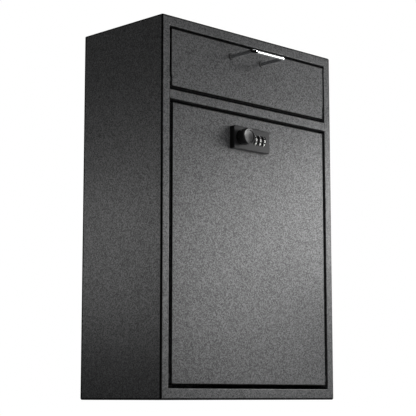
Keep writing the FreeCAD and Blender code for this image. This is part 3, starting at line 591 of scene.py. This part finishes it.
def geometry_tree(name, inputs):
    """Geometry tree with a geometry input, named inputs and a geometry output."""
    tree = bpy.data.node_groups.new(name, "GeometryNodeTree")
    tree.interface.new_socket("Geometry", in_out="INPUT", socket_type="NodeSocketGeometry")
    for label, kind in inputs:
        tree.interface.new_socket(label, in_out="INPUT", socket_type=kind)
    tree.interface.new_socket("Geometry", in_out="OUTPUT", socket_type="NodeSocketGeometry")
    return tree, tree.nodes.new("NodeGroupInput"), tree.nodes.new("NodeGroupOutput")


def socket_names(tree):
    """Identifier of each named input of a tree."""
    return {item.name: item.identifier for item in tree.interface.items_tree if item.in_out == "INPUT"}


def grown_piece(name, places, tree, values, body):
    """Run a geometry tree on a cloud of points and keep the result as a plain mesh on a body."""
    cloud = bpy.data.meshes.new(f"{name}_places")
    cloud.from_pydata([tuple(place) for place in places], [], [])
    source = bpy.data.objects.new(f"{name}_source", cloud)
    bpy.context.scene.collection.objects.link(source)
    modifier = source.modifiers.new("repeat", "NODES")
    modifier.node_group = tree
    identifiers = socket_names(tree)
    for label, value in values.items():
        modifier[identifiers[label]] = value
    graph = bpy.context.evaluated_depsgraph_get()
    mesh = bpy.data.meshes.new_from_object(source.evaluated_get(graph), depsgraph=graph)
    source.modifiers.clear()
    bpy.data.objects.remove(source)
    if not mesh.polygons:
        raise RuntimeError(f"{name} came out empty")
    mesh.name = name
    piece = bpy.data.objects.new(name, mesh)
    bpy.context.scene.collection.objects.link(piece)
    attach(piece, body)
    return piece


def numeral_tree(name):
    """Strip of ten numerals wrapped round a wheel's rim."""
    tree, given, result = geometry_tree(name, [
        ("Height", "NodeSocketFloat"), ("Radius", "NodeSocketFloat"), ("Proud", "NodeSocketFloat"),
        ("Weight", "NodeSocketFloat"), ("Centre", "NodeSocketVector"), ("Front Digit", "NodeSocketFloat"),
        ("Paint", "NodeSocketMaterial")])
    step = 2 * math.pi / DIGITS
    pitch = calc(tree, "MULTIPLY", given.outputs["Radius"], step)
    strip = tree.nodes.new("GeometryNodeJoinGeometry")
    for digit in range(DIGITS):
        text = put(tree, "GeometryNodeStringToCurves", {
            "String": str(digit), "Size": given.outputs["Height"]}, align_x="CENTER", align_y="MIDDLE")
        text.font = bpy.data.fonts.load("<builtin>", check_existing=True)
        turns = calc(tree, "SUBTRACT", float(digit), given.outputs["Front Digit"])
        lift = put(tree, "ShaderNodeCombineXYZ", {1: calc(tree, "MULTIPLY", turns, pitch)})
        moved = put(tree, "GeometryNodeTransform", {
            "Geometry": text.outputs["Curve Instances"], "Translation": lift.outputs[0]})
        tree.links.new(moved.outputs[0], strip.inputs[0])
    real = put(tree, "GeometryNodeRealizeInstances", {0: strip.outputs[0]})
    filled = put(tree, "GeometryNodeFillCurve", {0: real.outputs[0]})
    split = put(tree, "GeometryNodeSubdivideMesh", {"Mesh": filled.outputs[0], "Level": 1})
    thick = put(tree, "GeometryNodeExtrudeMesh", {
        "Mesh": split.outputs[0], "Offset Scale": calc(tree, "MULTIPLY", given.outputs["Proud"], 2.0),
        "Individual": False})
    round_stroke = put(tree, "GeometryNodeCurvePrimitiveCircle", {
        "Resolution": STROKE_SIDES, "Radius": given.outputs["Weight"]})
    fine = put(tree, "GeometryNodeResampleCurve", {0: real.outputs[0], "Count": STROKE_POINTS})
    outline = put(tree, "GeometryNodeCurveToMesh", {0: fine.outputs[0], 1: round_stroke.outputs[0]})
    pressed = put(tree, "GeometryNodeTransform", {
        "Geometry": outline.outputs[0], "Scale": (1.0, 1.0, STROKE_FLATNESS)})
    bold = put(tree, "GeometryNodeJoinGeometry", {0: thick.outputs["Mesh"]})
    tree.links.new(pressed.outputs[0], bold.inputs[0])
    flat = put(tree, "ShaderNodeSeparateXYZ", {0: put(tree, "GeometryNodeInputPosition").outputs[0]})
    angle = calc(tree, "DIVIDE", flat.outputs[1], given.outputs["Radius"])
    sunk = calc(tree, "SUBTRACT", given.outputs["Radius"], given.outputs["Proud"])
    reach = calc(tree, "ADD", sunk, flat.outputs[2])
    forward = calc(tree, "MULTIPLY", calc(tree, "MULTIPLY", reach, calc(tree, "COSINE", angle)), -1.0)
    upward = calc(tree, "MULTIPLY", reach, calc(tree, "SINE", angle))
    wrapped = put(tree, "ShaderNodeCombineXYZ", {0: flat.outputs[0], 1: forward, 2: upward})
    placed = put(tree, "ShaderNodeVectorMath", {
        0: wrapped.outputs[0], 1: given.outputs["Centre"]}, operation="ADD")
    bent = put(tree, "GeometryNodeSetPosition", {
        "Geometry": bold.outputs[0], "Position": placed.outputs[0]})
    whole = put(tree, "GeometryNodeRealizeInstances", {0: bent.outputs[0]})
    painted = put(tree, "GeometryNodeSetMaterial", {
        0: whole.outputs[0], "Material": given.outputs["Paint"]})
    tree.links.new(painted.outputs[0], result.inputs[0])
    return tree


def fastener_tree(name):
    """One fastener on each point of a cloud, at one turn and size."""
    tree, given, result = geometry_tree(name, [
        ("Fastener", "NodeSocketObject"), ("Turn", "NodeSocketRotation"), ("Size", "NodeSocketFloat"),
        ("Finish", "NodeSocketMaterial")])
    shape = put(tree, "GeometryNodeObjectInfo", {"Object": given.outputs["Fastener"]})
    sown = put(tree, "GeometryNodeInstanceOnPoints", {
        "Points": given.outputs["Geometry"], "Instance": shape.outputs["Geometry"],
        "Rotation": given.outputs["Turn"], "Scale": given.outputs["Size"]})
    real = put(tree, "GeometryNodeRealizeInstances", {0: sown.outputs[0]})
    finished = put(tree, "GeometryNodeSetMaterial", {
        0: real.outputs[0], "Material": given.outputs["Finish"]})
    tree.links.new(finished.outputs[0], result.inputs[0])
    return tree


def ringed_object(name, rings, segments, corners=0):
    """Closed shape of stacked rings, given as radius, height and whether the ring has corners."""
    mesh = bmesh.new()
    loops = []
    for radius, height, cornered in rings:
        loop = []
        for index in range(segments):
            turn = 2 * math.pi * index / segments
            reach = radius
            if cornered:
                part = 2 * math.pi / corners
                reach = radius * math.cos(part / 2) / math.cos(turn % part - part / 2)
            loop.append(mesh.verts.new((reach * math.cos(turn), reach * math.sin(turn), height)))
        loops.append(loop)
    for below, above in zip(loops, loops[1:]):
        for index in range(segments):
            following = (index + 1) % segments
            mesh.faces.new((below[index], below[following], above[following], above[index]))
    mesh.faces.new(list(reversed(loops[0])))
    mesh.faces.new(loops[-1])
    data = bpy.data.meshes.new(name)
    mesh.to_mesh(data)
    mesh.free()
    item = bpy.data.objects.new(name, data)
    bpy.context.scene.collection.objects.link(item)
    return item


def socket_screw():
    """Button head one unit across, with a hexagon socket."""
    rings = [(0.46, 0.0, False), (0.50, 0.04, False), (0.50, 0.12, False), (0.46, 0.20, False),
             (0.36, 0.27, False), (0.24, 0.30, True), (0.23, 0.29, True), (0.22, 0.12, True)]
    return ringed_object("socket_screw", rings, 24, corners=6)


def cup_washer():
    """Turned washer one unit across, with a rounded rim."""
    rings = [(0.50, 0.0, False), (0.50, 0.08, False), (0.46, 0.13, False), (0.36, 0.15, False),
             (0.30, 0.13, False)]
    return ringed_object("cup_washer", rings, 40)


def weld_dimple():
    """Shallow pressed ring one unit across, as a spot weld leaves."""
    rings = [(0.50, 0.0, False), (0.44, 0.06, False), (0.36, 0.06, False), (0.26, 0.015, False)]
    return ringed_object("weld_dimple", rings, 20)


def fasten(name, shape, places, turn, size, finish, body):
    """Put a fastener at each place; turn carries its +Z to the way that it faces."""
    item = shape()
    piece = grown_piece(name, places, tree_once("fasteners_on_points", fastener_tree), {
        "Fastener": item, "Turn": turn, "Size": size, "Finish": finish}, body)
    bpy.data.objects.remove(item)
    return piece


def corners_of(node, inset, y):
    """Four places at a node's corners, moved in by an inset, on the plane y."""
    low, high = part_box(node)
    return [(x, y, z) for x in (low.x + inset, high.x - inset) for z in (low.z + inset, high.z - inset)]


# Operators

class DEPOSIT_BOX_OT_stage(bpy.types.Operator):
    """Make the floor, the background, the lamps and the camera"""

    bl_idname = "deposit_box.stage"
    bl_label = "Make Stage"

    def execute(self, context):
        stage = context.scene.deposit_box_stage
        context.scene.view_settings.view_transform = "Standard"
        self.make_world(context.scene, stage)
        self.make_floor(stage)
        self.make_tent(stage)
        self.make_lamps(FRONT_LAMPS, stage.front_light)
        self.make_lamps(SIDE_LAMPS, stage.side_light)
        self.make_lamps(BACK_LAMPS, stage.back_light)
        camera = bpy.data.cameras.new("camera")
        camera.sensor_width = SENSOR_WIDTH
        camera.lens = stage.lens
        item = bpy.data.objects.new("camera", camera)
        item.location = stage.camera_place
        item.rotation_euler = stage.camera_turn
        context.scene.collection.objects.link(item)
        context.scene.camera = item
        return {"FINISHED"}

    def make_world(self, scene, stage):
        """Backdrop for the camera and for mirrors, soft ambient light for the rest."""
        world = bpy.data.worlds.new("studio")
        world.use_nodes = True
        tree = world.node_tree
        tree.nodes.clear()
        rays = tree.nodes.new("ShaderNodeLightPath")
        seen = calc(tree, "MAXIMUM", rays.outputs["Is Camera Ray"], rays.outputs["Is Transmission Ray"])
        seen = calc(tree, "MAXIMUM", seen, rays.outputs["Is Glossy Ray"])
        colour = mix_colour(tree, seen, opaque(stage.ambient), opaque(stage.backdrop))
        light = put(tree, "ShaderNodeBackground", {"Color": colour})
        output = tree.nodes.new("ShaderNodeOutputWorld")
        tree.links.new(light.outputs[0], output.inputs["Surface"])
        scene.world = world

    def make_floor(self, stage):
        """Pale floor that shows the box's shadow nearby and runs into the backdrop further off."""
        half, level = stage.floor_half, -stage.floor_drop
        data = bpy.data.meshes.new("floor")
        corners = [(-half, -half, level), (half, -half, level), (half, half, level), (-half, half, level)]
        data.from_pydata(corners, [], [(0, 1, 2, 3)])
        floor = bpy.data.objects.new("floor", data)
        bpy.context.scene.collection.objects.link(floor)
        material, tree, shader, place = new_material("pale_floor")
        shader.inputs["Base Color"].default_value = opaque(stage.backdrop)
        shader.inputs["Roughness"].default_value = 0.9
        shader.inputs["Specular IOR Level"].default_value = 0.0
        away = put(tree, "ShaderNodeVectorMath", {0: place.outputs["Object"]}, operation="LENGTH")
        near = fade(tree, away.outputs["Value"], stage.shadow_reach * SHADOW_START, stage.shadow_reach)
        rays = tree.nodes.new("ShaderNodeLightPath")
        glow = calc(tree, "SUBTRACT", 1.0, calc(tree, "MULTIPLY", near, stage.shadow_depth))
        white = put(tree, "ShaderNodeEmission", {
            "Color": opaque(stage.backdrop), "Strength": calc(tree, "MULTIPLY", glow, rays.outputs[0])})
        both = put(tree, "ShaderNodeAddShader", {0: shader.outputs[0], 1: white.outputs[0]})
        tree.links.new(both.outputs[0], tree.nodes["Material Output"].inputs["Surface"])
        data.materials.append(material)
        floor.visible_glossy = False

    def make_tent(self, stage):
        """Dark tent round the stage that only reflections see, so that black metal stays black."""
        ground = -TENT_GROUND * stage.floor_drop
        shoulder = TENT_SHOULDER * stage.tent_height
        rings = ((MILLIMETRE, ground), (stage.tent_radius, ground), (stage.tent_radius, shoulder),
                 (stage.tent_opening, stage.tent_height))
        sides = TENT_SIDES
        points = []
        for radius, height in rings:
            for index in range(sides):
                turn = 2 * math.pi * index / sides
                points.append((radius * math.cos(turn), radius * math.sin(turn), height))
        faces = []
        for start in range(0, sides * (len(rings) - 1), sides):
            for index in range(sides):
                after = (index + 1) % sides
                faces.append((start + index, start + after, start + after + sides, start + index + sides))
        data = bpy.data.meshes.new("dark_tent")
        data.from_pydata(points, [], faces)
        tent = bpy.data.objects.new("dark_tent", data)
        bpy.context.scene.collection.objects.link(tent)
        for rays in ("camera", "diffuse", "transmission", "volume_scatter", "shadow"):
            setattr(tent, f"visible_{rays}", False)
        material, tree, shader, place = new_material("dark_cloth")
        shader.inputs["Base Color"].default_value = (0.01, 0.01, 0.01, 1.0)
        shader.inputs["Roughness"].default_value = 1.0
        data.materials.append(material)

    def make_lamps(self, lamps, strength):
        """Soft lamps that light the box and stay out of the picture."""
        for lamp in lamps:
            light = bpy.data.lights.new(lamp.name, "AREA")
            light.shape = "RECTANGLE"
            light.size, light.size_y = lamp.width, lamp.height
            light.energy = strength * lamp.radiance * math.pi * lamp.width * lamp.height
            item = bpy.data.objects.new(lamp.name, light)
            item.location = lamp.place
            towards = Vector(lamp.aim) - Vector(lamp.place)
            item.rotation_euler = towards.to_track_quat("-Z", "Y").to_euler()
            item.visible_camera = False
            bpy.context.scene.collection.objects.link(item)


class DEPOSIT_BOX_OT_sheet_metal(bpy.types.Operator):
    """Coat the cabinet, the door and the hopper"""

    bl_idname = "deposit_box.sheet_metal"
    bl_label = "Coat Sheet Metal"

    def execute(self, context):
        finish = context.scene.deposit_box_finish
        detail = context.scene.deposit_box_detail
        shell, door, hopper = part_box("cabinet_shell"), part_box("door_panel"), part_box("hopper_panel")
        gap = detail.frame_gap
        opening = (Vector((door[0].x - gap, shell[0].y, door[0].z - gap)),
                   Vector((door[1].x + gap, shell[1].y, hopper[1].z + gap)))
        panel_fold_shade = finish.panel_fold_width
        # Each coat paints shade round the folds of its own part; the cabinet's also paints a highlight
        # along the opening
        coats = {
            "cabinet": powder_coat("powder_coat_cabinet", shell, finish.fold_width, finish, opening),
            "door": powder_coat("powder_coat_door", door, panel_fold_shade, finish),
            "hopper": powder_coat("powder_coat_hopper", hopper, panel_fold_shade, finish),
        }
        for body, material in coats.items():
            for node in BODIES[body]:
                if SLOT_OF[node] == "powder_coat":
                    cover_node(node, material)
        # Painted shade along the mid rail's long folds; the box is widened so that its ends get none
        low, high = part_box("mid_rail")
        beyond = Vector((high.x - low.x, 0.0, 0.0))
        rail = (low - beyond, high + beyond)
        cover_node("mid_rail", powder_coat("powder_coat_rail", rail, finish.rail_fold_width, finish))
        return {"FINISHED"}


class DEPOSIT_BOX_OT_hardware(bpy.types.Operator):
    """Plate the pull, the pivots, the nuts, the cam and the springs"""

    bl_idname = "deposit_box.hardware"
    bl_label = "Plate Hardware"

    def execute(self, context):
        finish = context.scene.deposit_box_finish
        chrome = metal("chrome_rod", finish.chrome, roughness=0.09, stretch=(300.0, 300.0, 2500.0),
                       streak_depth=0.002 * MILLIMETRE, stain=0.04)
        zinc = metal("zinc_plate", finish.zinc, roughness=0.34, stretch=(250.0, 250.0, 3000.0),
                     streak_depth=0.01 * MILLIMETRE, stain=0.18)
        steel = metal("spring_steel", finish.spring, roughness=0.28, stretch=(2500.0, 200.0, 200.0),
                      streak_depth=0.006 * MILLIMETRE, stain=0.25)
        oxide = satin("black_oxide", finish.oxide, roughness=0.4, grain=0.4 * MILLIMETRE,
                      depth=0.01 * MILLIMETRE, shine=0.2)
        slots = {"chrome_rod": chrome, "zinc_plate": zinc, "spring_steel": steel, "black_oxide": oxide}
        for slot, material in slots.items():
            for node in nodes_in(slot):
                cover_node(node, material)
        return {"FINISHED"}


class DEPOSIT_BOX_OT_lock(bpy.types.Operator):
    """Finish the lock's castings, the knob and the number wheels"""

    bl_idname = "deposit_box.lock"
    bl_label = "Finish Lock"

    def execute(self, context):
        finish = context.scene.deposit_box_finish
        detail = context.scene.deposit_box_detail
        casting = satin("lock_black", finish.lock, roughness=0.34, grain=0.5 * MILLIMETRE,
                        depth=0.01 * MILLIMETRE, shine=0.25)
        wheel = satin("dial_black", finish.dial, roughness=0.45, grain=0.3 * MILLIMETRE,
                      depth=0.01 * MILLIMETRE, shine=0.1)
        for slot, material in (("lock_black", casting), ("dial_black", wheel)):
            for node in nodes_in(slot):
                cover_node(node, material)
        knob = satin("knob_black", finish.lock, roughness=0.26, grain=0.5 * MILLIMETRE,
                     depth=0.01 * MILLIMETRE)
        low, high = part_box("lock_knob")
        middle = (low + high) / 2
        dish_face(knob, (middle.x, 0.0, middle.z), (high.x - low.x) / 2, detail.knob_dish)
        cover_node("lock_knob", knob)
        return {"FINISHED"}


class DEPOSIT_BOX_OT_numerals(bpy.types.Operator):
    """Paint ten numerals round each number wheel"""

    bl_idname = "deposit_box.numerals"
    bl_label = "Paint Numerals"

    def execute(self, context):
        finish = context.scene.deposit_box_finish
        detail = context.scene.deposit_box_detail
        paint = satin("numeral_paint", finish.numeral, roughness=0.5, grain=0.2 * MILLIMETRE,
                      depth=0.004 * MILLIMETRE)
        for body in DIALS:
            (wheel,) = BODIES[body]
            low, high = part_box(wheel)
            grown_piece(f"numerals_{body}", [(0, 0, 0)], tree_once("numeral_ring", numeral_tree), {
                "Height": detail.numeral_height, "Radius": (high.y - low.y) / 2,
                "Proud": detail.numeral_proud, "Weight": detail.numeral_weight, "Centre": (low + high) / 2,
                "Front Digit": float(detail.front_digit), "Paint": paint}, body)
        return {"FINISHED"}


class DEPOSIT_BOX_OT_fasteners(bpy.types.Operator):
    """Add the lock's screws, the pull's black washers, which also stand in for the shade at its feet, and
    the marks of the spot welds
    """

    bl_idname = "deposit_box.fasteners"
    bl_label = "Add Fasteners"

    def execute(self, context):
        detail = context.scene.deposit_box_detail
        zinc = bpy.data.materials["zinc_plate"]
        black = bpy.data.materials["lock_black"]
        clamp_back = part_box("lock_clamp")[1].y
        cover_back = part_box("lock_back_cover")[1].y
        clamp_inset = 0.6 * detail.clamp_screw
        cover_inset = detail.cover_screw
        fasten("clamp_screws", socket_screw, corners_of("lock_clamp", clamp_inset, clamp_back),
               FACING_BACK, detail.clamp_screw, zinc, "door")
        fasten("cover_screws", socket_screw, corners_of("lock_back_cover", cover_inset, cover_back),
               FACING_BACK, detail.cover_screw, zinc, "door")
        self.add_washers(detail, black)
        self.add_weld_marks(detail)
        return {"FINISHED"}

    def add_washers(self, detail, black):
        """A black washer under each foot of the pull; its black also stands in for the shade round the
        feet.
        """
        low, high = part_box("pull_handle")
        radius = (high.z - low.z) / 2
        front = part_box("hopper_panel")[0].y
        feet = [(x, front, low.z + radius) for x in (low.x + radius, high.x - radius)]
        # Painted shade: the washers are black so that they also stand in for the shade round the pull's
        # feet
        fasten("pull_washers", cup_washer, feet,
               FACING_FRONT, detail.washer, black, "hopper")

    def add_weld_marks(self, detail):
        """Marks along the rear flanges, where the back panel is welded on."""
        low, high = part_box("cabinet_shell")
        inset = 8 * MILLIMETRE
        left, right, bottom, top = low.x + inset, high.x - inset, low.z + inset, high.z - inset
        across = math.floor((right - left) / detail.weld_pitch)
        upward = math.floor((top - bottom) / detail.weld_pitch)
        places = []
        for index in range(across + 1):
            x = left + (right - left) * index / across
            places += [(x, high.y, bottom), (x, high.y, top)]
        for index in range(1, upward):
            z = bottom + (top - bottom) * index / upward
            places += [(left, high.y, z), (right, high.y, z)]
        coat = bpy.data.materials["powder_coat_cabinet"]
        fasten("weld_marks", weld_dimple, places,
               FACING_BACK, detail.weld_mark, coat, "cabinet")


OPERATORS = (
    DEPOSIT_BOX_OT_stage,
    DEPOSIT_BOX_OT_sheet_metal,
    DEPOSIT_BOX_OT_hardware,
    DEPOSIT_BOX_OT_lock,
    DEPOSIT_BOX_OT_numerals,
    DEPOSIT_BOX_OT_fasteners,
)


class DEPOSIT_BOX_PT_tools(bpy.types.Panel):
    """Lists the steps that finish the box"""

    bl_idname = "DEPOSIT_BOX_PT_tools"
    bl_label = "Deposit Box"
    bl_space_type = "VIEW_3D"
    bl_region_type = "UI"
    bl_category = "Deposit Box"

    def draw(self, context):
        for operator in OPERATORS:
            self.layout.operator(operator.bl_idname)


SETTINGS = {
    "deposit_box_stage": StageSettings,
    "deposit_box_finish": FinishSettings,
    "deposit_box_detail": DetailSettings,
}


def register():
    for item in (*SETTINGS.values(), *OPERATORS, DEPOSIT_BOX_PT_tools):
        bpy.utils.register_class(item)
    for name, settings in SETTINGS.items():
        setattr(bpy.types.Scene, name, PointerProperty(type=settings))


def unregister():
    for name in SETTINGS:
        delattr(bpy.types.Scene, name)
    for item in (DEPOSIT_BOX_PT_tools, *reversed(OPERATORS), *reversed(SETTINGS.values())):
        bpy.utils.unregister_class(item)


def main():
    register()
    bpy.ops.deposit_box.stage()
    bpy.ops.deposit_box.sheet_metal()
    bpy.ops.deposit_box.hardware()
    bpy.ops.deposit_box.lock()
    bpy.ops.deposit_box.numerals()
    bpy.ops.deposit_box.fasteners()


if __name__ == "__main__":
    main()
